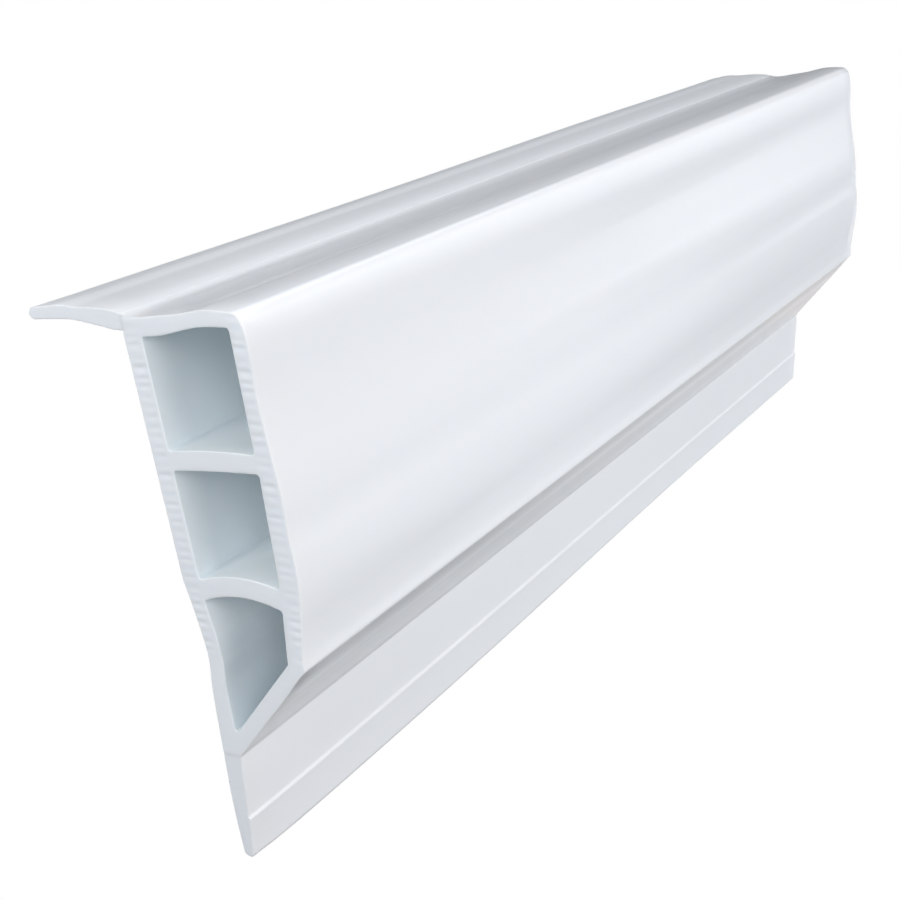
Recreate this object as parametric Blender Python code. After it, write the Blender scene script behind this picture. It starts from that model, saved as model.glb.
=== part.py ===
"""Door sweep: a stiff hollow rail with a soft top lip and a soft sweep fin.

Every piece is one constant section run along X. +X is along the length, +Y points out of
the rail's flat back face, towards the door, and +Z is up. The origin is on that flat face,
halfway along it and level with the upper web. Section points are (depth, height) pairs in
millimetres, and they become metres when a section is extruded.
"""
import math

import bmesh
import bpy
from mathutils import Vector

MM = 0.001
CORNER_STEPS = 3
ARC_STEPS = 6
CURVE_STEPS = 3
SHARP_EDGE = math.radians(35.0)
WEB_STEPS = 6
SHALLOW_BEND = math.radians(80.0)    # half of an outline's inside angle

# Driving dimensions of the whole part.
LENGTH = 150.0
TOP = 12.0                    # level part of the top wall, above the origin
FOOT = -30.2                  # underside of the rail, where the fin is welded on
TIP = -42.2                   # lowest line of the fin

# Rail, outside.
BACK_FLAT_TOP = 10.35         # upper edge of the flat back face
LIP_SEAT = -0.1               # the band above it that carries the lip is set in by this much
TOP_BACK = [(LIP_SEAT, TOP + 0.1), (-1.3, TOP + 0.03), (-2.9, TOP)]    # eases into the lip
CREST = [(-6.4, TOP), (-8.2, TOP + 0.15), (-9.8, TOP + 0.33), (-11.3, TOP + 0.32), (-12.5, TOP + 0.15)]
TOP_CORNER_RADIUS = 1.2
TOP_CORNER_START = 95.0       # degrees round from +Y, where the crest runs into the corner
TOP_CORNER_STEPS = 4
FRONT_ROLLS = [               # shallow rolls, then a taper down to the sloping underside
    (-13.75, 10.9), (-13.86, 8.8), (-13.76, 5.2), (-13.88, 1.2), (-13.97, -2.4),
    (-13.78, -7.4), (-13.74, -9.0), (-13.50, -12.0), (-13.08, -15.0), (-12.55, -18.4),
]
SLOPE_TOP = (-12.45, -19.4)   # sharp lower edge of the front wall
SLOPE_FOOT = (-2.15, -29.98)
FOOT_FRONT = (-2.07, FOOT)
FOOT_BACK = (0.15, FOOT)
BACK_RELIEF = [               # shallow hollow in the back wall, from the flat face to the foot
    (0.0, -12.3), (-0.42, -14.8), (-0.82, -18.0), (-0.88, -20.2), (-0.48, -22.6), (-0.2, -25.4),
]

# Rail, inside. Each web face is given at the back wall and at the front wall, with its bow.
FRONT_WALL = 1.95
BACK_WALL = 2.15
LOW_BACK_WALL = 1.85
LOW_BACK_HEIGHTS = (-22.6, -20.2, -17.2)    # where the lower chamber follows the back wall's hollow
SLOPE_WALL = 1.6
CHAMBER_RADIUS = 0.25
CEILING = [(-BACK_WALL, TOP - 1.95), (-4.5, TOP - 1.85), (-8.6, TOP - 1.15), (-12.1, TOP - 1.15)]
UPPER_WEB_TOP = (0.0, 0.3, 0.2)
UPPER_WEB_UNDER = (-1.8, -1.4, 0.1)
LOWER_WEB_TOP = (-12.0, -11.75, 0.7)
LOWER_WEB_UNDER = (-14.05, -13.8, 0.8)

# Soft top lip: a thick root and a thinner blade.
LIP_ROOT_AXIS = (0.95, 11.3)
LIP_ROOT_RADIUS = 0.72
LIP_ROOT_TOP = [(2.3, 12.55), (3.9, 12.83), (5.9, 12.86)]
LIP_ROOT_UNDER = [(5.9, 11.5), (3.9, 11.15), (1.9, 10.75)]
LIP_BLADE_AXIS = (6.85, 12.2)
LIP_BLADE_RADIUS = 0.64
LIP_TIP = (10.05, 12.2)
LIP_TIP_RADIUS = 0.62

# Soft sweep fin: a thick root with a bead, and a thinner wiping blade.
FIN_ROOT_AXIS = (-0.87, -31.6)
FIN_ROOT_RADIUS = 1.07
FIN_ROOT_END = -37.8
FIN_ROOT_END_FRONT = -1.05
FIN_ROOT_END_BACK = 0.6
BEAD_CENTRE = (-1.12, -37.3)
BEAD_RADIUS = 0.3
BEAD_ARC = (100.0, 250.0)     # the stretch of the bead's circle that stands out of the front face
BEAD_STEPS = 4
FIN_BLADE_AXIS = (-0.18, -38.9)
FIN_BLADE_RADIUS = 0.78
FIN_TIP_RADIUS = 0.55
FIN_TIP_CENTRE = (0.0, TIP + FIN_TIP_RADIUS)


def arc(centre, radius, start_deg, end_deg, steps=ARC_STEPS):
    """Points on a circle, both ends included. 0 degrees is +Y and 90 degrees is +Z."""
    points = []
    for step in range(steps + 1):
        angle = math.radians(start_deg + (end_deg - start_deg) * step / steps)
        points.append((centre[0] + radius * math.cos(angle), centre[1] + radius * math.sin(angle)))
    return points


def smooth_line(points, steps=CURVE_STEPS):
    """A Catmull-Rom curve through the points, both ends included."""
    knots = [Vector(point) for point in [points[0], *points, points[-1]]]
    line = []
    for a, b, c, d in zip(knots, knots[1:], knots[2:], knots[3:]):
        for step in range(steps):
            t = step / steps
            bend = (2.0 * a - 5.0 * b + 4.0 * c - d) * t ** 2 + (3.0 * b - a - 3.0 * c + d) * t ** 3
            line.append(tuple(b + 0.5 * ((c - a) * t + bend)))
    line.append(tuple(points[-1]))
    return line


def rounded(corners, radius, steps=CORNER_STEPS):
    """A closed outline with its real corners turned into arcs. Shallow bends stay as they are."""
    outline = []
    for index, corner in enumerate(corners):
        here = Vector(corner)
        before = (Vector(corners[index - 1]) - here).normalized()
        after = (Vector(corners[(index + 1) % len(corners)]) - here).normalized()
        half_angle = before.angle(after) / 2.0
        if half_angle > SHALLOW_BEND:
            outline.append(corner)
            continue
        centre = here + (before + after).normalized() * radius / math.sin(half_angle)
        first = here + before * radius / math.tan(half_angle) - centre
        last = here + after * radius / math.tan(half_angle) - centre
        start = math.degrees(math.atan2(first.y, first.x))
        turn = math.degrees(math.atan2(first.x * last.y - first.y * last.x, first.dot(last)))
        outline += arc(centre, radius, start, start + turn, steps)
    return outline


def depth_at(line, height):
    """Depth of a line of falling heights at one height."""
    for (upper_depth, upper), (lower_depth, lower) in zip(line, line[1:]):
        if lower <= height <= upper:
            share = (upper - height) / (upper - lower)
            return upper_depth + (lower_depth - upper_depth) * share
    return line[-1][0]


def inner_front(height):
    """A point on the inside of the front wall."""
    return (depth_at(smooth_line(FRONT_ROLLS), height) + FRONT_WALL, height)


def inner_back(height):
    """A point on the inside of the back wall, below its flat part."""
    return (depth_at(smooth_line(BACK_RELIEF), height) - LOW_BACK_WALL, height)


def web_face(face, back_depth):
    """A web's face from the back wall to the front wall, bowed as a parabola."""
    back_height, front_height, bow = face
    front = inner_front(front_height)
    points = []
    for step in range(WEB_STEPS + 1):
        share = step / WEB_STEPS
        height = back_height + (front_height - back_height) * share + 4.0 * bow * share * (1.0 - share)
        points.append((back_depth + (front[0] - back_depth) * share, height))
    return points


def rail_outline():
    """The rail's outer skin, from the lip's weld over the top, down the front and up the back."""
    corner_centre = (FRONT_ROLLS[0][0] + TOP_CORNER_RADIUS, CREST[-1][1] - TOP_CORNER_RADIUS)
    seat = [(0.0, BACK_FLAT_TOP), (LIP_SEAT, BACK_FLAT_TOP - LIP_SEAT)]
    corner = arc(corner_centre, TOP_CORNER_RADIUS, TOP_CORNER_START, 180, TOP_CORNER_STEPS)
    over_the_top = smooth_line(TOP_BACK + CREST) + corner
    under = [SLOPE_TOP, SLOPE_FOOT, FOOT_FRONT, FOOT_BACK]
    back = smooth_line(BACK_RELIEF)[::-1]
    return seat + over_the_top + smooth_line(FRONT_ROLLS)[1:] + under + back


def upper_chamber():
    """Chamber under the top wall."""
    floor = web_face(UPPER_WEB_TOP, -BACK_WALL)
    ceiling = smooth_line(CEILING)[::-1]
    return rounded(floor + ceiling, CHAMBER_RADIUS)


def middle_chamber():
    """Chamber between the two webs."""
    floor = web_face(LOWER_WEB_TOP, -BACK_WALL)
    ceiling = web_face(UPPER_WEB_UNDER, -BACK_WALL)[::-1]
    return rounded(floor + ceiling, CHAMBER_RADIUS)


def lower_chamber():
    """Tapering chamber under the lower web, down to where the back and sloping walls meet."""
    slope = (Vector(SLOPE_FOOT) - Vector(SLOPE_TOP)).normalized()
    inside = Vector(SLOPE_TOP) + Vector((-slope.y, slope.x)) * SLOPE_WALL
    knee = inside + slope * (inner_front(SLOPE_TOP[1])[0] - inside.x) / slope.x
    tip = inside + slope * (-BACK_WALL - inside.x) / slope.x
    back = [inner_back(height) for height in LOW_BACK_HEIGHTS]
    ceiling = web_face(LOWER_WEB_UNDER, -BACK_WALL)
    return rounded([tuple(tip), *back, *ceiling, tuple(knee)], CHAMBER_RADIUS)


def lip_root_outline():
    """Thick inner half of the lip. Its round inner edge is centred on the line it flexes about."""
    inner_edge = arc(LIP_ROOT_AXIS, LIP_ROOT_RADIUS, 270, 90)
    return inner_edge + LIP_ROOT_TOP + LIP_ROOT_UNDER


def lip_blade_outline():
    """Thin outer half of the lip, round along both edges."""
    inner_edge = arc(LIP_BLADE_AXIS, LIP_BLADE_RADIUS, 270, 90)
    return inner_edge + arc(LIP_TIP, LIP_TIP_RADIUS, 90, -90)


def fin_root_outline():
    """Thick upper part of the fin, with a bead near its lower front edge."""
    top_edge = arc(FIN_ROOT_AXIS, FIN_ROOT_RADIUS, 0, 180)
    bead = arc(BEAD_CENTRE, BEAD_RADIUS, *BEAD_ARC, BEAD_STEPS)
    return top_edge + bead + [(FIN_ROOT_END_FRONT, FIN_ROOT_END), (FIN_ROOT_END_BACK, FIN_ROOT_END)]


def fin_blade_outline():
    """Thin lower part of the fin that wipes the floor, round along both edges."""
    top_edge = arc(FIN_BLADE_AXIS, FIN_BLADE_RADIUS, 0, 180)
    return top_edge + arc(FIN_TIP_CENTRE, FIN_TIP_RADIUS, 180, 360)


def make_material(name, colour, roughness):
    """A plain plastic finish."""
    material = bpy.data.materials.new(name)
    material.use_nodes = True
    shader = material.node_tree.nodes["Principled BSDF"]
    shader.inputs["Base Color"].default_value = (*colour, 1.0)
    shader.inputs["Roughness"].default_value = roughness
    shader.inputs["Metallic"].default_value = 0.0
    return material


def extrude_section(name, loops, axis, material):
    """Run a section of one outer loop and any chamber loops along X, with its origin on axis."""
    bm = bmesh.new()
    rim = []
    for loop in loops:
        ring = []
        for depth, height in loop:
            place = ((-LENGTH / 2.0) * MM, (depth - axis[0]) * MM, (height - axis[1]) * MM)
            ring.append(bm.verts.new(place))
        for first, second in zip(ring, ring[1:] + ring[:1]):
            rim.append(bm.edges.new((first, second)))
    bmesh.ops.triangle_fill(bm, edges=rim, use_beauty=True)
    extruded = bmesh.ops.extrude_face_region(bm, geom=bm.faces[:])
    far_end = [item for item in extruded["geom"] if isinstance(item, bmesh.types.BMVert)]
    bmesh.ops.translate(bm, vec=(LENGTH * MM, 0.0, 0.0), verts=far_end)
    bmesh.ops.recalc_face_normals(bm, faces=bm.faces[:])
    mesh = bpy.data.meshes.new(name)
    bm.to_mesh(mesh)
    bm.free()
    mesh.shade_smooth()
    mesh.set_sharp_from_angle(angle=SHARP_EDGE)
    mesh.materials.append(material)
    piece = bpy.data.objects.new(name, mesh)
    piece.location = (0.0, axis[0] * MM, axis[1] * MM)
    bpy.context.collection.objects.link(piece)
    return piece


def hang_on(child, parent, child_axis, parent_axis):
    """Parent one strip to another, keeping its origin on its own flexing line."""
    child.parent = parent
    depth_step = child_axis[0] - parent_axis[0]
    height_step = child_axis[1] - parent_axis[1]
    child.location = (0.0, depth_step * MM, height_step * MM)


def main():
    """Clear the scene and build the five strips."""
    for old in list(bpy.data.objects):
        bpy.data.objects.remove(old, do_unlink=True)
    stiff = make_material("stiff_pvc", (0.88, 0.90, 0.93), 0.32)
    soft_lip = make_material("soft_pvc_lip", (0.80, 0.82, 0.86), 0.42)
    soft_fin = make_material("soft_pvc_fin", (0.82, 0.84, 0.87), 0.42)

    chambers = [upper_chamber(), middle_chamber(), lower_chamber()]
    rail = extrude_section("rail", [rail_outline(), *chambers], (0.0, 0.0), stiff)

    lip_root = extrude_section("top_lip_root", [lip_root_outline()], LIP_ROOT_AXIS, soft_lip)
    lip_blade = extrude_section("top_lip_blade", [lip_blade_outline()], LIP_BLADE_AXIS, soft_lip)
    hang_on(lip_root, rail, LIP_ROOT_AXIS, (0.0, 0.0))
    hang_on(lip_blade, lip_root, LIP_BLADE_AXIS, LIP_ROOT_AXIS)

    fin_root = extrude_section("sweep_fin_root", [fin_root_outline()], FIN_ROOT_AXIS, soft_fin)
    fin_blade = extrude_section("sweep_fin_blade", [fin_blade_outline()], FIN_BLADE_AXIS, soft_fin)
    hang_on(fin_root, rail, FIN_ROOT_AXIS, (0.0, 0.0))
    hang_on(fin_blade, fin_root, FIN_BLADE_AXIS, FIN_ROOT_AXIS)


main()
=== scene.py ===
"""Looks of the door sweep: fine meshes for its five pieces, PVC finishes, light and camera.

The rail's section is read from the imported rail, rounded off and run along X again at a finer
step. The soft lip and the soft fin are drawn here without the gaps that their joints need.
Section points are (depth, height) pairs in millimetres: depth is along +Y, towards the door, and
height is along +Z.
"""

import math

import bmesh
import bpy
import numpy as np
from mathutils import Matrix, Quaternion, Vector, noise
from mathutils.geometry import delaunay_2d_cdt


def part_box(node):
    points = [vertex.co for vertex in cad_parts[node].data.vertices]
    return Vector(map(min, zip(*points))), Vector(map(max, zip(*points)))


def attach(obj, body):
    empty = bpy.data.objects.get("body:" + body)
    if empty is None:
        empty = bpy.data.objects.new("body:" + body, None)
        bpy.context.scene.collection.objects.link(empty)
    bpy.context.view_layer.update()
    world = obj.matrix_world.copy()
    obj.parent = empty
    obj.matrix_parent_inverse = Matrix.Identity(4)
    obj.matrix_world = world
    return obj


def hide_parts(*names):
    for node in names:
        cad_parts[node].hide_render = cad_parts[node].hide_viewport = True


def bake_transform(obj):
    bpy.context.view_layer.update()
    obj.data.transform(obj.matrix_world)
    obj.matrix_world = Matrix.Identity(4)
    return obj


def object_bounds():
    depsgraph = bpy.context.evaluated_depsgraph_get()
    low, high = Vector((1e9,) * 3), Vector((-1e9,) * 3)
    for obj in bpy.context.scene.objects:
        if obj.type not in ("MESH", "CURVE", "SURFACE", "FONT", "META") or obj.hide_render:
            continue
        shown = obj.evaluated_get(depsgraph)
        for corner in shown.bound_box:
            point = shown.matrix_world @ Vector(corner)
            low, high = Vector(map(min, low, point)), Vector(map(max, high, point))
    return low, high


MM = 0.001

# The order of a piece's materials.
SKIN = 0
CHAMBER = 1
SAWN = 2

# How finely the sections are drawn.
SKIN_STEP = 0.26              # along the rail's skin and chambers
STRIP_STEP = 0.16             # along the lip, and half of it along the fin
LONGEST_CHORD = 1.2           # longer straight stretches are split before a curve runs through them
SECTION_CURVE_STEPS = 6       # points that a curve adds between two of the rail's own
CURVE_STEPS = 8               # the same for the soft strips and the reliefs
ROUND_END_STEPS = 13          # round a soft strip's free edge
ACROSS_STEPS = 7              # across a soft strip's flat end
STATIONS = 48                 # steps along the length
END_REACH = 0.01              # how far from the end plane a corner still belongs to the end face
WELD_REACH = 0.0001           # how far from a weld line a point still lies on it
MERGE_REACH = 0.003           # points closer than this become one
FACE_REACH = 1e-6             # the same while a sawn face is filled
SHARP_TURN = math.radians(37.0)
CORNER_EASE = 0.16            # radius of the rail's sharp corners
CORNER_STEPS = 4
CORNER_SHARE = 0.4            # most of a short side that a corner may take
CORNER_MARGIN = 0.3           # steps of the skin kept free beyond each corner's ease
CUT_EASE = 0.09               # radius that the saw and the scraper leave on a cut edge
CUT_EASE_STEPS = 3
FACE_ROW = 0.15               # rows of points across a sawn face
FACE_COLUMN = 0.32
FACE_MARGIN = 0.6             # least distance from those points to the rim, as a share of a row
SMOOTH_UP_TO = math.radians(38.0)

# Saw marks on the cut ends. They are deep on two walls and faint everywhere else.
TOOTH_PITCH = 0.88
TOOTH_DEPTH = 0.085
TOOTH_WALLS = [(-12.75, 1.0), (-1.1, 0.95)]    # (middle, half width) of the walls where they show
TOOTH_LOWEST = -19.5
TOOTH_FAINT = 0.12            # share of the full depth elsewhere
TOOTH_BOW = 0.004             # how much each mark curves over the section's depth
TOOTH_BOW_MIDDLE = -6.0
TOOTH_WANDER = 0.35           # unevenness of the pitch, as a share of it
TOOTH_WANDER_RATE = 0.7       # how fast it changes from mark to mark
TOOTH_LEAST_BITE = 0.3        # the marks differ in depth, from a least share to a most
TOOTH_BITE_SPREAD = 1.6
TOOTH_MOST_BITE = 1.3
GROOVE_NARROWING = 2.3        # a mark is narrower than the pitch
SAW_GRAIN = 0.006             # fine unevenness between the marks
SAW_GRAIN_SCALE = (1.5, 9.0)  # patches of grain per millimetre of depth and of height
SAW_SEED = 3.0
BITE_SEED = (3.71, 2.3, 0.5)

# How far the rail's outer skin rises and falls along its section as the plastic settles on
# cooling. The front is (height, outward), the top (depth, upward), and the sloping underside
# (distance down the slope, outward).
FRONT_RELIEF = [
    (11.0, 0.0), (9.4, -0.025), (7.9, -0.065), (6.2, -0.14), (4.8, -0.155), (2.2, -0.12), (0.0, -0.06),
    (-1.8, 0.03), (-4.4, 0.11), (-5.9, 0.07), (-7.0, 0.09), (-8.2, 0.18), (-10.5, 0.25), (-12.7, 0.20),
    (-14.2, 0.11), (-15.5, -0.01), (-17.4, -0.10), (-18.3, -0.095), (-18.9, -0.05), (-19.4, -0.03),
]
TOP_RELIEF = [
    (-12.9, 0.0), (-12.3, -0.03), (-11.7, -0.06), (-11.0, -0.055), (-10.0, -0.02), (-9.3, 0.03),
    (-8.0, 0.01), (-6.4, -0.05), (-4.6, -0.14), (-3.6, -0.21), (-2.6, -0.28), (-1.8, -0.30),
    (-1.2, -0.255), (-0.6, -0.145), (-0.1, 0.0),
]
SLOPE_RELIEF = [
    (0.0, 0.0), (1.0, -0.03), (2.4, 0.0), (5.0, 0.03), (8.0, 0.01), (10.0, 0.0), (14.0, 0.0),
]
FRONT_BEFORE = -11.0          # the front lies before this depth
FRONT_FACING = 0.85           # and its normal points forward at least this much
TOP_ABOVE = 11.0              # the top lies above this height
TOP_FACING = 0.5              # and its normal points up at least this much
SLOPE_FACING = 0.4            # the slope's normal points forward at least this much
SLOPE_TOP = (-12.45, -19.4)
SLOPE_FOOT = (-2.15, -29.98)
SLOPE_LINE_DEPTH = 0.006      # fine lines that the die leaves on the slope
SLOPE_LINE_SPACING = 1.1
SLOPE_LINE_SEED = (7.3, 1.1)
CORNER_MIDDLE = (-13.45, 11.7)  # the upper front corner is rounder than its two sides make it
CORNER_REACH = 1.6
CORNER_ROUNDING = 0.15
CORNER_FADE = 1.5
RAIL_SEAT = -0.1              # depth of the rail's seat for the lip

# Soft lip, as (depth, height) from its weld, a little inside the rail, to its free edge.
LIP_TOP = [
    (-0.4, 12.01), (0.0, 12.12), (0.6, 12.26), (1.6, 12.42), (3.4, 12.56), (5.2, 12.62), (6.3, 12.76),
    (7.1, 12.83), (7.8, 12.83), (8.7, 12.76), (10.7, 12.6),
]
LIP_UNDER = [
    (-0.4, 10.5), (1.4, 10.66), (2.4, 10.88), (3.9, 11.17), (5.9, 11.5), (8.2, 11.56), (10.7, 11.56),
]
LIP_SEAM = 6.05               # where the inner piece ends and the outer one starts
LIP_WAVE = 0.08               # the free edge isn't quite straight
LIP_WAVE_LENGTH = 97.0
LIP_FLARE = 0.35              # the saw pulls the lip's near corner out a little
LIP_FLARE_LENGTH = 1.6

# Soft fin, as (distance below the origin, depth) from its weld, a little inside the rail, to its
# free edge.
FIN_FRONT = [
    (30.02, -2.1), (30.3, -2.08), (31.6, -1.93), (34.7, -1.50), (37.8, -1.05), (39.9, -0.80),
    (42.2, -0.58),
]
FIN_BACK = [
    (30.02, 0.0), (30.3, 0.15), (31.6, 0.28), (34.7, 0.50), (37.8, 0.60), (39.9, 0.60), (42.2, 0.57),
]
FIN_SEAM = 38.3               # where the upper piece ends and the lower one starts
FIN_WAVE = 0.2                # its free edge waves a little along its length
FIN_WAVE_LENGTH = 115.0
FIN_WAVE_START = 38.0
FIN_CORNER_RISE = 0.45        # the near corner is trimmed a little short
FIN_CORNER_LENGTH = 4.0
STRIP_SHORTER = 0.02          # each soft strip is cut a hair shorter than the rail
BEAD_TOP = 36.95              # a small ridge: short rise on its upper side, long fall below
BEAD_RISE = 0.42
BEAD_FALL = 5.0
BEAD_HEIGHT = 0.2

# PVC: colours are the share of red, green and blue light sent back.
PVC_SKIN = (0.855, 0.868, 0.898)
# The chambers' colour is lighter and bluer than the skin's, though it is the same plastic: painted light
# inside the chambers.
PVC_CHAMBER_PAINTED_LIGHT = (0.865, 0.935, 0.975)
PVC_SAWN = (0.80, 0.835, 0.89)
PVC_SOFT = (0.845, 0.858, 0.885)
PVC_IOR = 1.53
PVC_GLOW_SHARE = 0.3          # light that sinks in and comes out again nearby
SOFT_GLOW_SHARE = 0.0         # the soft compound is filled, and looks solid
PVC_GLOW_RADIUS = (0.9, 1.0, 1.1)
PVC_GLOW_DEPTH = 1.2
# Painted shade and painted light down the sloping underside: a darker band just under its upper corner, a
# lighter one further down.
SLOPE_PAINTED_SHADE_AND_LIGHT = [             # (share of the way down the slope, share of the colour)
    (0.0, 1.0), (0.03, 0.95), (0.08, 0.86), (0.15, 0.86), (0.20, 0.93), (0.28, 1.02), (0.33, 1.09),
    (0.40, 1.06), (0.47, 1.0), (0.55, 1.02), (0.62, 1.0), (0.7, 1.03), (0.95, 1.05), (1.0, 1.0),
]
# Painted shade in the lowest chamber: its colour is darkened below this height, and the darkening fades
# out over LOW_CHAMBER_FADE above it.
LOW_CHAMBER_TOP = -19.5
LOW_CHAMBER_FADE = 2.0        # height over which the lowest chamber's grey fades out at its ceiling
LOW_CHAMBER_SHADE_SHARE = 0.88

# Patterns: stretches are along X, Y and Z, and scales are patches per metre.
ALONG = (0.03, 1.0, 1.0)      # streaks that the die draws along the length
ACROSS = (1.0, 0.05, 1.0)     # streaks that the saw draws through the depth
CLOUD_STRETCH = (0.35, 1.0, 1.0)
CLOUD_SCALE = 55.0
CLOUD_DETAIL = 3.0
STREAK_SCALE = 260.0
STREAK_DETAIL = 2.0
RELIEF_SCALE = 900.0
RELIEF_DETAIL = 4.0
PATTERN_ENDS = (0.3, 0.7)     # nearly all of a noise pattern lies between these values
GLOSS_ENDS = (0.96, 1.04)     # shares of a roughness that its streaks run between
SAWN_RELIEF = 0.004           # the finest saw marks, which are left to bump

# Camera, floor and dome, in metres and degrees.
CAMERA_PLACE = (-0.144853, -0.082945, 0.031615)
CAMERA_AZIMUTH = -53.525
CAMERA_ELEVATION = 18.814
CAMERA_ROLL = -9.2415
CAMERA_LENS = 51.617
CAMERA_NEAREST = 0.005
CAMERA_FARTHEST = 20.0
FLOOR_DROP = 0.002            # floor below the fin's free edge
FLOOR_OVERLAP = 1.02          # the floor reaches a little past the dome
DOME_RADIUS = 3.0
STAGE_SEGMENTS = 64

# Soft studio light: azimuth and elevation seen from the part, distance and width in metres, power
# in watts and colour.
SOFTBOXES = {
    "front": (0.0, 15.0, 1.2, 0.9, 6.8, (1.04, 1.0, 0.97)),
    "front_right_top": (60.0, 68.0, 1.2, 0.9, 5.45, (0.99, 1.0, 1.01)),
    "camera_side": (-50.0, 20.0, 1.2, 0.9, 5.4, (0.99, 0.98, 1.03)),
    "front_right": (50.0, 12.0, 1.2, 0.9, 3.05, (0.92, 1.0, 1.05)),
    "right_high": (110.0, 50.0, 1.2, 0.9, 2.3, (0.87, 1.0, 1.12)),
    "right_low": (105.0, -20.0, 1.2, 0.9, 2.1, (1.05, 0.98, 0.97)),
    "front_low": (0.0, -20.0, 1.2, 0.9, 1.2, (1.0, 1.03, 0.95)),
    "front_right_low": (70.0, -15.0, 1.2, 0.9, 1.2, (0.86, 0.99, 1.12)),
    "left": (-95.0, 20.0, 0.35, 0.28, 0.7, (0.99, 1.01, 1.0)),
    "right_back_low": (130.0, -5.0, 1.2, 0.9, 0.3, (0.93, 1.0, 1.07)),
    "right_under": (45.0, -35.0, 0.45, 0.35, 0.3, (0.9, 1.0, 1.1)),
    "behind": (170.0, -8.0, 1.2, 0.9, 7.0, (1.0, 1.0, 1.0)),
}
WORLD_COLOUR = (0.0, 0.0, 0.0)

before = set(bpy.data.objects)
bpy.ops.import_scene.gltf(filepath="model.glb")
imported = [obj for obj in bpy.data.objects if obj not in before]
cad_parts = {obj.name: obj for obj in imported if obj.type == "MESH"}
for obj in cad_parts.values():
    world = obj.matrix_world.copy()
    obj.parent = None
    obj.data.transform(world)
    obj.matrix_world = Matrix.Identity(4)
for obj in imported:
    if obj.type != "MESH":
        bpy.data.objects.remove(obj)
cad_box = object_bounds()


# ---------------------------------------------------------------- section lines

def smooth_line(points, steps):
    """A centripetal Catmull-Rom curve through the points, both ends included."""
    ends = [2.0 * Vector(points[0]) - Vector(points[1]), 2.0 * Vector(points[-1]) - Vector(points[-2])]
    knots = [ends[0], *[Vector(point) for point in points], ends[1]]
    line = []
    for a, b, c, d in zip(knots, knots[1:], knots[2:], knots[3:]):
        before, here, after = (math.sqrt(side.length) for side in (b - a, c - b, d - c))
        leave = ((b - a) / before - (c - a) / (before + here) + (c - b) / here) * here
        arrive = ((c - b) / here - (d - b) / (here + after) + (d - c) / after) * here
        for step in range(steps):
            t = step / steps
            cubic = (2.0 * (b - c) + leave + arrive) * t ** 3
            square = (3.0 * (c - b) - 2.0 * leave - arrive) * t ** 2
            line.append(tuple(b + leave * t + (cubic + square)))
    line.append(tuple(points[-1]))
    return line


def even_steps(line, step):
    """An open line resampled at an even step, both ends kept."""
    points = np.array(line)
    run = np.concatenate([[0.0], np.cumsum(np.hypot(*np.diff(points, axis=0).T))])
    count = max(1, round(run[-1] / step))
    places = np.linspace(0.0, run[-1], count + 1)
    return np.stack([np.interp(places, run, points[:, 0]), np.interp(places, run, points[:, 1])], axis=1)


def signed_area(loop):
    """Area of a closed outline, positive when it runs anticlockwise."""
    points = np.array(loop)
    after = np.roll(points, -1, axis=0)
    return 0.5 * float(np.sum(points[:, 0] * after[:, 1] - after[:, 0] * points[:, 1]))


def turned(loop, anticlockwise):
    """A closed outline that runs the way asked for."""
    return loop if (signed_area(loop) > 0.0) == anticlockwise else loop[::-1]


def end_loops(node):
    """The closed outlines of a CAD node's end face, in millimetres, the outer one first."""
    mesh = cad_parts[node].data
    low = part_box(node)[0].x
    place = {}
    for vertex in mesh.vertices:
        if vertex.co.x - low < END_REACH * MM:
            place[vertex.index] = (round(vertex.co.y / MM, 3), round(vertex.co.z / MM, 3))
    uses = {}
    for face in mesh.polygons:
        if all(index in place for index in face.vertices):
            corners = [place[index] for index in face.vertices]
            for pair in zip(corners, corners[1:] + corners[:1]):
                uses.setdefault(frozenset(pair), []).append(pair)
    follows = {pairs[0][0]: pairs[0][1] for pairs in uses.values() if len(pairs) == 1}
    loops = []
    while follows:
        start = min(follows)
        loop = [start]
        point = follows.pop(start)
        while point != start:
            loop.append(point)
            point = follows.pop(point)
        loops.append(loop)
    return sorted(loops, key=lambda loop: -abs(signed_area(loop)))


def turn_at(loop, index):
    """How sharply a closed outline turns at one of its points."""
    here = Vector(loop[index])
    into = here - Vector(loop[index - 1])
    out = Vector(loop[(index + 1) % len(loop)]) - here
    return into.angle(out)


def subdivided(span, longest):
    """An open line whose long straight stretches are split, so that a curve keeps them straight."""
    line = [span[0]]
    for a, b in zip(span, span[1:]):
        count = max(1, math.ceil(math.dist(a, b) / longest))
        for step in range(1, count + 1):
            line.append(tuple(Vector(a).lerp(Vector(b), step / count)))
    return line


def fine_line(span):
    """An open stretch of the rail's section as one smooth curve, at the skin's step."""
    return even_steps(smooth_line(subdivided(span, LONGEST_CHORD), SECTION_CURVE_STEPS), SKIN_STEP)


def refine(loop):
    """A closed outline redrawn as smooth curves between its sharp corners, which are eased."""
    corners = [index for index in range(len(loop)) if turn_at(loop, index) > SHARP_TURN]
    if not corners:
        return fine_line([*loop, loop[0]])[:-1]
    lines = []
    for first, last in zip(corners, corners[1:] + [corners[0] + len(loop)]):
        span = [loop[index % len(loop)] for index in range(first, last + 1)]
        lines.append(fine_line(span))
    clear = CORNER_EASE + CORNER_MARGIN * SKIN_STEP
    fine = []
    for index, line in enumerate(lines):
        before, corner = lines[index - 1], Vector(line[0])
        shorter = min(math.dist(before[0], before[-1]), math.dist(line[0], line[-1]))
        radius = min(CORNER_EASE, CORNER_SHARE * shorter)
        start = corner + (Vector(before[-2]) - corner).normalized() * radius
        stop = corner + (Vector(line[1]) - corner).normalized() * radius
        for step in range(CORNER_STEPS + 1):
            t = step / CORNER_STEPS
            fine.append(start * (1.0 - t) ** 2 + corner * 2.0 * t * (1.0 - t) + stop * t ** 2)
        inner = [Vector(point) for point in line[1:-1]]
        ends = (corner, Vector(line[-1]))
        fine += [point for point in inner if min((point - end).length for end in ends) > clear]
    return np.array([tuple(point) for point in fine])


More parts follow.
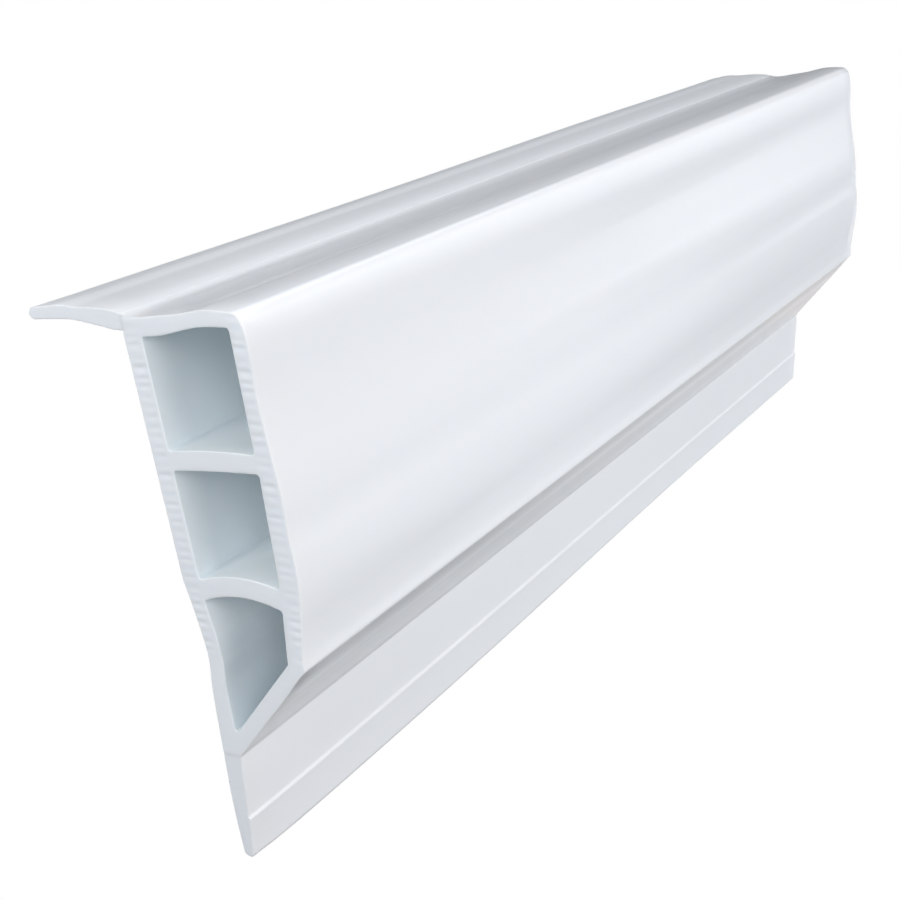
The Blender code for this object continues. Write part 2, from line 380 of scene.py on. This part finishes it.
def normals(loop):
    """Unit normals along a closed outline that point to its left, into the material."""
    along = np.roll(loop, -1, axis=0) - np.roll(loop, 1, axis=0)
    along = along / np.hypot(along[:, 0], along[:, 1])[:, None]
    return np.stack([-along[:, 1], along[:, 0]], axis=1)


def inset(loop, distance, welds):
    """A closed outline moved into its material. Points on a weld line stay on it."""
    moved = loop + normals(loop) * distance
    for axis, value in welds:
        on_line = np.abs(loop[:, axis] - value) < WELD_REACH
        moved[on_line, axis] = value
    return moved


def relief_at(places, points):
    """Height of a relief, given as points, at each of some places. It is zero outside them."""
    curve = np.array(smooth_line(points, CURVE_STEPS))
    if curve[0, 0] > curve[-1, 0]:
        curve = curve[::-1]
    return np.interp(places, *curve.T, left=0.0, right=0.0)


def settled(loop):
    """The rail's outer outline with the unevenness of a real extrusion."""
    depth, height = loop.T
    out = -normals(loop)
    front = (depth < FRONT_BEFORE) & (out[:, 0] < -FRONT_FACING)
    top = (height > TOP_ABOVE) & (out[:, 1] > TOP_FACING)
    slope = (height < SLOPE_TOP[1]) & (height > SLOPE_FOOT[1]) & (out[:, 0] < -SLOPE_FACING)
    down_slope = np.hypot(depth - SLOPE_TOP[0], height - SLOPE_TOP[1])
    places = [Vector((run / SLOPE_LINE_SPACING, *SLOPE_LINE_SEED)) for run in down_slope]
    lines = np.array([noise.noise(place) for place in places])
    rise = np.where(front, relief_at(height, FRONT_RELIEF), 0.0)
    rise = rise + np.where(slope, relief_at(down_slope, SLOPE_RELIEF) + SLOPE_LINE_DEPTH * lines, 0.0)
    from_corner = np.hypot(depth - CORNER_MIDDLE[0], height - CORNER_MIDDLE[1]) / CORNER_REACH
    rise = rise - CORNER_ROUNDING * np.clip(1.0 - from_corner, 0.0, 1.0) ** CORNER_FADE
    moved = loop + out * rise[:, None]
    moved[:, 1] += np.where(top, relief_at(depth, TOP_RELIEF), 0.0)
    return moved


def bead(run):
    """How far the fin's front face stands proud at one distance below the origin."""
    past = run - BEAD_TOP
    rise = np.clip(past / BEAD_RISE, 0.0, 1.0)
    fall = np.clip(1.0 - (past - BEAD_RISE) / BEAD_FALL, 0.0, 1.0)
    return BEAD_HEIGHT * rise * rise * (3.0 - 2.0 * rise) * fall


def strip_outline(side_a, side_b, start, stop, round_end, ridge=None):
    """Closed outline of a stretch of a soft strip, as (run, side) points.

    A ridge, if there is one, raises side_a by its height at each distance along the run.
    """
    curve_a = np.array(smooth_line(side_a, CURVE_STEPS))
    curve_b = np.array(smooth_line(side_b, CURVE_STEPS))
    half = 0.5 * abs(np.interp(stop, *curve_a.T) - np.interp(stop, *curve_b.T))
    last = stop - half if round_end else stop
    step = STRIP_STEP if ridge is None else 0.5 * STRIP_STEP
    runs = np.linspace(start, last, round((last - start) / step))
    a = np.interp(runs, *curve_a.T)
    b = np.interp(runs, *curve_b.T)
    if ridge is not None:
        a = a + np.sign(a - b) * ridge(runs)
    if round_end:
        middle, reach = 0.5 * (a[-1] + b[-1]), 0.5 * (a[-1] - b[-1])
        angles = np.linspace(0.0, math.pi, ROUND_END_STEPS + 1)[1:-1]
        edge = [(last + half * math.sin(angle), middle + reach * math.cos(angle)) for angle in angles]
    else:
        edge = [(last, side) for side in np.linspace(a[-1], b[-1], ACROSS_STEPS + 1)[1:-1]]
    weld = [(start, side) for side in np.linspace(b[0], a[0], ACROSS_STEPS + 1)[1:-1]]
    return np.array([*zip(runs, a), *edge, *list(zip(runs, b))[::-1], *weld])


# ---------------------------------------------------------------- meshes

def saw_mark(depth, height, end):
    """How far a sawn face is scored below its true plane at one place, in millimetres."""
    travel = (height + TOOTH_BOW * (depth - TOOTH_BOW_MIDDLE) ** 2) / TOOTH_PITCH
    travel += TOOTH_WANDER * noise.noise(Vector((travel * TOOTH_WANDER_RATE, SAW_SEED, end)))
    tooth = math.floor(travel)
    bite = abs(noise.noise(Vector((tooth * BITE_SEED[0], end * BITE_SEED[1], BITE_SEED[2]))))
    bite = min(TOOTH_LEAST_BITE + TOOTH_BITE_SPREAD * bite, TOOTH_MOST_BITE)
    groove = max(0.0, 1.0 - GROOVE_NARROWING * abs(travel - tooth - 0.5))
    groove = groove * groove * (3.0 - 2.0 * groove)
    share = max(0.0, *(1.0 - ((depth - middle) / half) ** 2 for middle, half in TOOTH_WALLS))
    share = max(share, TOOTH_FAINT) if height > TOOTH_LOWEST else TOOTH_FAINT
    grain = noise.noise(Vector((depth * SAW_GRAIN_SCALE[0], height * SAW_GRAIN_SCALE[1], end)))
    return TOOTH_DEPTH * share * bite * groove + SAW_GRAIN * grain


def inside_section(points, loops):
    """Which points lie in the section's material, by the even-odd rule."""
    inside = np.zeros(len(points), bool)
    for loop in loops:
        for (ax, ay), (bx, by) in zip(loop, np.roll(loop, -1, axis=0)):
            if ay == by:
                continue
            crosses = (points[:, 1] > ay) != (points[:, 1] > by)
            reach = ax + (points[:, 1] - ay) * (bx - ax) / (by - ay)
            inside ^= crosses & (points[:, 0] < reach)
    return inside


def face_mesh(loops):
    """Points and triangles that fill a section, with rows close enough for saw marks."""
    rim = np.concatenate(loops)
    edges = []
    base = 0
    for loop in loops:
        count = len(loop)
        edges += [(base + index, base + (index + 1) % count) for index in range(count)]
        base += count
    low, high = rim.min(axis=0), rim.max(axis=0)
    columns = np.arange(low[0], high[0], FACE_COLUMN)
    rows = np.arange(low[1], high[1], FACE_ROW)
    grid = np.stack(np.meshgrid(columns, rows), axis=-1).reshape(-1, 2)
    grid = grid[inside_section(grid, loops)]
    nearest = np.full(len(grid), np.inf)
    for point in rim:
        nearest = np.minimum(nearest, np.hypot(*(grid - point).T))
    grid = grid[nearest > FACE_MARGIN * FACE_ROW]
    points = [Vector(point) for point in np.concatenate([rim, grid])]
    found, _, faces, _, _, _ = delaunay_2d_cdt(points, edges, [], 0, FACE_REACH)
    corners = np.array([tuple(point) for point in found])
    faces = np.array(faces)
    centres = corners[faces].mean(axis=1)
    return corners, faces[inside_section(centres, loops)]


def end_stations():
    """(distance in from the end, inset) pairs that round a cut edge off."""
    turns = [0.5 * math.pi * step / CUT_EASE_STEPS for step in range(CUT_EASE_STEPS + 1)]
    return [(CUT_EASE * (1.0 - math.cos(turn)), CUT_EASE * (1.0 - math.sin(turn))) for turn in turns]


def run_of_section(name, loops, half_length, welds, materials, shift=None):
    """A closed mesh of a section run along X, with eased, sawn ends.

    materials are those of the outer skin, the chambers and the sawn faces. shift moves a point
    a little, given its place in millimetres.
    """
    loops = [turned(loop, number == 0) for number, loop in enumerate(loops)]
    near = [(back - half_length, pull) for back, pull in end_stations()]
    middle = [(x, 0.0) for x in np.linspace(near[-1][0], -near[-1][0], STATIONS)[1:-1]]
    stations = near + middle + [(-x, pull) for x, pull in near[::-1]]
    bm = bmesh.new()
    for number, loop in enumerate(loops):
        rings = []
        for x, pull in stations:
            rings.append([bm.verts.new((x, depth, height)) for depth, height in inset(loop, pull, welds)])
        for ring, after in zip(rings, rings[1:]):
            for index in range(len(ring)):
                other = (index + 1) % len(ring)
                face = bm.faces.new((ring[index], ring[other], after[other], after[index]))
                face.material_index = CHAMBER if number else SKIN
    corners, triangles = face_mesh([inset(loop, stations[0][1], welds) for loop in loops])
    for x in (-half_length, half_length):
        points = [bm.verts.new((x, depth, height)) for depth, height in corners]
        for triangle in triangles:
            bm.faces.new([points[index] for index in triangle]).material_index = SAWN
    bmesh.ops.remove_doubles(bm, verts=bm.verts[:], dist=MERGE_REACH)
    bmesh.ops.recalc_face_normals(bm, faces=bm.faces[:])
    for vertex in bm.verts:
        x, depth, height = vertex.co
        if abs(x) > half_length - 0.5 * CUT_EASE:
            vertex.co.x -= math.copysign(saw_mark(depth, height, math.copysign(1.0, x)), x)
        if shift is not None:
            vertex.co += shift(x + half_length, depth, height)
        vertex.co *= MM
    for face in bm.faces:
        face.smooth = True
    mesh = bpy.data.meshes.new(name)
    bm.to_mesh(mesh)
    bm.free()
    mesh.set_sharp_from_angle(angle=SMOOTH_UP_TO)
    for material in materials:
        mesh.materials.append(material)
    piece = bpy.data.objects.new(name, mesh)
    bpy.context.scene.collection.objects.link(piece)
    return piece


def lip_shift(along, depth, height):
    """The lip's free edge waves gently, and its near corner flares where the saw went in."""
    reach = max(0.0, depth / LIP_TOP[-1][0]) ** 2
    wave = LIP_WAVE * (math.cos(2.0 * math.pi * along / LIP_WAVE_LENGTH) - 1.0)
    flare = LIP_FLARE * math.exp(-along / LIP_FLARE_LENGTH)
    return Vector((-flare * reach, flare * reach, wave * reach))


def fin_shift(along, depth, height):
    """The fin's free edge waves gently, and its near corner is trimmed a little short."""
    reach = max(0.0, (-height - FIN_FRONT[0][0]) / (FIN_FRONT[-1][0] - FIN_FRONT[0][0])) ** 2
    rise = -FIN_WAVE * math.cos(2.0 * math.pi * (along - FIN_WAVE_START) / FIN_WAVE_LENGTH)
    rise += FIN_CORNER_RISE * math.exp(-along / FIN_CORNER_LENGTH)
    return Vector((0.0, 0.0, rise * reach))


# ---------------------------------------------------------------- materials

def new_material(name, roughness, glow_share):
    """A material with its shader's plain numbers set. Returns it, its nodes, links and shader."""
    material = bpy.data.materials.new(name)
    material.use_nodes = True
    nodes = material.node_tree.nodes
    shader = nodes["Principled BSDF"]
    shader.inputs["Roughness"].default_value = roughness
    shader.inputs["IOR"].default_value = PVC_IOR
    shader.inputs["Subsurface Weight"].default_value = glow_share
    shader.inputs["Subsurface Radius"].default_value = PVC_GLOW_RADIUS
    shader.inputs["Subsurface Scale"].default_value = PVC_GLOW_DEPTH * MM
    return material, nodes, material.node_tree.links, shader


def streaks(nodes, links, stretch, scale, detail):
    """A noise pattern in the part's own space, stretched by a factor along each axis."""
    place = nodes.new("ShaderNodeTexCoord")
    mapping = nodes.new("ShaderNodeMapping")
    mapping.inputs["Scale"].default_value = stretch
    pattern = nodes.new("ShaderNodeTexNoise")
    pattern.inputs["Scale"].default_value = scale
    pattern.inputs["Detail"].default_value = detail
    links.new(place.outputs["Object"], mapping.inputs["Vector"])
    links.new(mapping.outputs["Vector"], pattern.inputs["Vector"])
    return pattern.outputs["Fac"]


def ramp(nodes, links, source, stops):
    """A colour ramp over a pattern. stops are (place, colour) pairs."""
    node = nodes.new("ShaderNodeValToRGB")
    while len(node.color_ramp.elements) < len(stops):
        node.color_ramp.elements.new(0.5)
    for element, (place, colour) in zip(node.color_ramp.elements, stops):
        element.position = place
        element.color = (*colour, 1.0)
    links.new(source, node.inputs["Fac"])
    return node.outputs["Color"]


def tint(colour, share):
    """A colour made lighter or darker."""
    return tuple(channel * share for channel in colour)


def plastic(
    name, colour, roughness, cloudiness, streak_stretch, relief=0.0, glow_share=PVC_GLOW_SHARE,
):
    """PVC: a soft cloudiness of colour, long streaks in the gloss, and a fine relief if it has one."""
    material, nodes, links, shader = new_material(name, roughness, glow_share)
    cloud = streaks(nodes, links, CLOUD_STRETCH, CLOUD_SCALE, CLOUD_DETAIL)
    shades = [tint(colour, 1.0 - cloudiness), tint(colour, 1.0 + cloudiness)]
    shade = ramp(nodes, links, cloud, list(zip(PATTERN_ENDS, shades)))
    links.new(shade, shader.inputs["Base Color"])
    fine = streaks(nodes, links, streak_stretch, STREAK_SCALE, STREAK_DETAIL)
    glosses = [(roughness * share,) * 3 for share in GLOSS_ENDS]
    gloss = ramp(nodes, links, fine, list(zip(PATTERN_ENDS, glosses)))
    links.new(gloss, shader.inputs["Roughness"])
    if relief > 0.0:
        scores = streaks(nodes, links, streak_stretch, RELIEF_SCALE, RELIEF_DETAIL)
        bump = nodes.new("ShaderNodeBump")
        bump.inputs["Distance"].default_value = relief * MM
        links.new(scores, bump.inputs["Height"])
        links.new(bump.outputs["Normal"], shader.inputs["Normal"])
    return material


def multiply_colour(material, share):
    """Multiplies a material's colour by a share that other nodes work out."""
    tree = material.node_tree
    colour = tree.nodes["Principled BSDF"].inputs["Base Color"]
    product = tree.nodes.new("ShaderNodeVectorMath")
    product.operation = "MULTIPLY"
    tree.links.new(colour.links[0].from_socket, product.inputs[0])
    tree.links.new(share, product.inputs[1])
    tree.links.new(product.outputs["Vector"], colour)


def shade_lower_chamber(material):
    """Painted shade: the lowest chamber is darker than the others, with a soft change at its ceiling."""
    nodes = material.node_tree.nodes
    links = material.node_tree.links
    place = nodes.new("ShaderNodeTexCoord")
    axes = nodes.new("ShaderNodeSeparateXYZ")
    share = nodes.new("ShaderNodeMapRange")
    share.inputs["From Min"].default_value = LOW_CHAMBER_TOP * MM
    share.inputs["From Max"].default_value = (LOW_CHAMBER_TOP + LOW_CHAMBER_FADE) * MM
    share.inputs["To Min"].default_value = LOW_CHAMBER_SHADE_SHARE
    links.new(place.outputs["Object"], axes.inputs["Vector"])
    links.new(axes.outputs["Z"], share.inputs["Value"])
    multiply_colour(material, share.outputs["Result"])


def paint_slope_shade_and_light(material):
    """Painted shade and painted light down the sloping underside: darker just under its upper corner,
    lighter further down.
    """
    nodes = material.node_tree.nodes
    links = material.node_tree.links
    place = nodes.new("ShaderNodeTexCoord")
    from_corner = nodes.new("ShaderNodeVectorMath")
    from_corner.operation = "SUBTRACT"
    from_corner.inputs[1].default_value = (0.0, SLOPE_TOP[0] * MM, SLOPE_TOP[1] * MM)
    down = nodes.new("ShaderNodeVectorMath")
    down.operation = "DOT_PRODUCT"
    run = Vector((0.0, SLOPE_FOOT[0] - SLOPE_TOP[0], SLOPE_FOOT[1] - SLOPE_TOP[1])) * MM
    down.inputs[1].default_value = run / run.length_squared
    links.new(place.outputs["Object"], from_corner.inputs[0])
    links.new(from_corner.outputs["Vector"], down.inputs[0])
    stops = [(stop, (share,) * 3) for stop, share in SLOPE_PAINTED_SHADE_AND_LIGHT]
    multiply_colour(material, ramp(nodes, links, down.outputs["Value"], stops))


def make_skin():
    """The rail's glossy outer skin, with painted shade and painted light down the slope."""
    skin = plastic(
        "stiff_pvc_skin", PVC_SKIN, roughness=0.24, cloudiness=0.008, streak_stretch=ALONG,
    )
    paint_slope_shade_and_light(skin)
    return skin


def make_chamber_skin():
    """The rail's duller inner skin, lighter and bluer than the outer one as painted light, with painted
    shade in the lowest chamber.
    """
    inner = plastic(
        "stiff_pvc_chamber", PVC_CHAMBER_PAINTED_LIGHT, roughness=0.42, cloudiness=0.015, streak_stretch=ALONG,
    )
    shade_lower_chamber(inner)
    return inner


def make_soft_skin():
    """The satin skin of the lip and the fin."""
    return plastic(
        "soft_pvc_skin", PVC_SOFT, roughness=0.36, cloudiness=0.012, streak_stretch=ALONG,
        glow_share=SOFT_GLOW_SHARE,
    )


def make_sawn(name, glow_share):
    """A matt cut face, scored across by the saw."""
    return plastic(
        name, PVC_SAWN, roughness=0.55, cloudiness=0.02, streak_stretch=ACROSS,
        relief=SAWN_RELIEF, glow_share=glow_share,
    )


# ---------------------------------------------------------------- pieces


def make_rail():
    """The stiff hollow rail."""
    loops = [refine(loop) for loop in end_loops("rail")]
    loops[0] = settled(turned(loops[0], True))
    materials = [make_skin(), make_chamber_skin(), make_sawn("stiff_pvc_sawn", PVC_GLOW_SHARE)]
    half_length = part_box("rail")[1].x / MM
    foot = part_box("rail")[0].z / MM
    welds = [(0, RAIL_SEAT), (1, foot)]
    piece = run_of_section("rail_body", loops, half_length, welds, materials)
    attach(piece, "rail")
    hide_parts("rail")


def bend(piece):
    """Bakes a soft piece's placement into its mesh."""
    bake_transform(piece)


def make_lip(materials):
    """The soft lip, in two pieces: the inner one from its weld to the seam, the outer one to its free
    edge.
    """
    half_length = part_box("top_lip_root")[1].x / MM - STRIP_SHORTER
    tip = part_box("top_lip_blade")[1].y / MM
    weld = LIP_TOP[0][0]
    inner = strip_outline(LIP_TOP, LIP_UNDER, weld, LIP_SEAM, False)
    outer = strip_outline(LIP_TOP, LIP_UNDER, LIP_SEAM, tip, True)
    welds = [(0, weld), (0, LIP_SEAM)]
    root = run_of_section("lip_inner", [inner], half_length, welds, materials, lip_shift)
    blade = run_of_section("lip_outer", [outer], half_length, welds, materials, lip_shift)
    bend(root)
    bend(blade)
    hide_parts("top_lip_root")
    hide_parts("top_lip_blade")


def make_fin(materials):
    """The soft fin, in two pieces: the upper one from its weld to the seam, the lower one to its free
    edge.
    """
    half_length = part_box("sweep_fin_root")[1].x / MM - STRIP_SHORTER
    tip = -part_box("sweep_fin_blade")[0].z / MM
    weld = FIN_FRONT[0][0]
    upper = strip_outline(FIN_FRONT, FIN_BACK, weld, FIN_SEAM, False, bead)
    lower = strip_outline(FIN_FRONT, FIN_BACK, FIN_SEAM, tip, True, bead)
    upper = upper[:, ::-1] * (1.0, -1.0)
    lower = lower[:, ::-1] * (1.0, -1.0)
    welds = [(1, -weld), (1, -FIN_SEAM)]
    root = run_of_section("fin_upper", [upper], half_length, welds, materials, fin_shift)
    blade = run_of_section("fin_lower", [lower], half_length, welds, materials, fin_shift)
    bend(root)
    bend(blade)
    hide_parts("sweep_fin_root")
    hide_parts("sweep_fin_blade")


# ---------------------------------------------------------------- studio

def direction(azimuth, elevation):
    """Unit vector from the part towards a place seen at an azimuth and an elevation, in degrees."""
    a, e = math.radians(azimuth), math.radians(elevation)
    return Vector((math.sin(a) * math.cos(e), -math.cos(a) * math.cos(e), math.sin(e)))


def make_camera():
    """The camera, beyond the near cut end, in front of the part and a little above it."""
    data = bpy.data.cameras.new("camera")
    data.lens = CAMERA_LENS
    data.clip_start = CAMERA_NEAREST
    data.clip_end = CAMERA_FARTHEST
    camera = bpy.data.objects.new("camera", data)
    camera.location = CAMERA_PLACE
    look = (-direction(CAMERA_AZIMUTH, CAMERA_ELEVATION)).to_track_quat("-Z", "Y")
    camera.rotation_mode = "QUATERNION"
    camera.rotation_quaternion = look @ Quaternion((0.0, 0.0, 1.0), math.radians(CAMERA_ROLL))
    bpy.context.scene.collection.objects.link(camera)
    bpy.context.scene.camera = camera


def make_softboxes():
    """Large square lights round the part, all turned to it."""
    for name, (azimuth, elevation, distance, width, power, colour) in SOFTBOXES.items():
        data = bpy.data.lights.new(name, "AREA")
        data.shape = "SQUARE"
        data.size = width
        data.energy = power
        data.color = colour
        light = bpy.data.objects.new(name, data)
        light.location = direction(azimuth, elevation) * distance
        light.rotation_mode = "QUATERNION"
        light.rotation_quaternion = (-light.location).to_track_quat("-Z", "Y")
        bpy.context.scene.collection.objects.link(light)


def make_world():
    """A black world, so that all the light is the softboxes' own."""
    world = bpy.data.worlds.new("studio")
    world.use_nodes = True
    world.node_tree.nodes["Background"].inputs["Color"].default_value = (*WORLD_COLOUR, 1.0)
    bpy.context.scene.world = world


def make_stage():
    """A plain white floor and a white dome round it. Neither throws light onto the part."""
    material = bpy.data.materials.new("white_stage")
    material.use_nodes = True
    nodes = material.node_tree.nodes
    nodes.remove(nodes["Principled BSDF"])
    glow = nodes.new("ShaderNodeEmission")
    glow.inputs["Color"].default_value = (1.0, 1.0, 1.0, 1.0)
    glow.inputs["Strength"].default_value = 1.0
    material.node_tree.links.new(glow.outputs["Emission"], nodes["Material Output"].inputs["Surface"])
    floor_height = cad_box[0].z - FLOOR_DROP
    bm = bmesh.new()
    bmesh.ops.create_circle(
        bm, cap_ends=True, radius=DOME_RADIUS * FLOOR_OVERLAP, segments=STAGE_SEGMENTS,
    )
    floor_mesh = bpy.data.meshes.new("floor")
    bm.to_mesh(floor_mesh)
    bm.free()
    bm = bmesh.new()
    bmesh.ops.create_uvsphere(
        bm, u_segments=STAGE_SEGMENTS, v_segments=STAGE_SEGMENTS // 2, radius=DOME_RADIUS,
    )
    dome_mesh = bpy.data.meshes.new("dome")
    bm.to_mesh(dome_mesh)
    bm.free()
    for name, mesh in (("floor", floor_mesh), ("dome", dome_mesh)):
        mesh.materials.append(material)
        stage = bpy.data.objects.new(name, mesh)
        stage.location = (0.0, 0.0, floor_height)
        stage.visible_diffuse = False
        stage.visible_glossy = False
        stage.visible_shadow = False
        bpy.context.scene.collection.objects.link(stage)


soft_skin = make_soft_skin()
soft_materials = [soft_skin, soft_skin, make_sawn("soft_pvc_sawn", SOFT_GLOW_SHARE)]
make_rail()
make_lip(soft_materials)
make_fin(soft_materials)
make_camera()
make_world()
make_softboxes()
make_stage()
bpy.context.scene.view_settings.view_transform = "Standard"
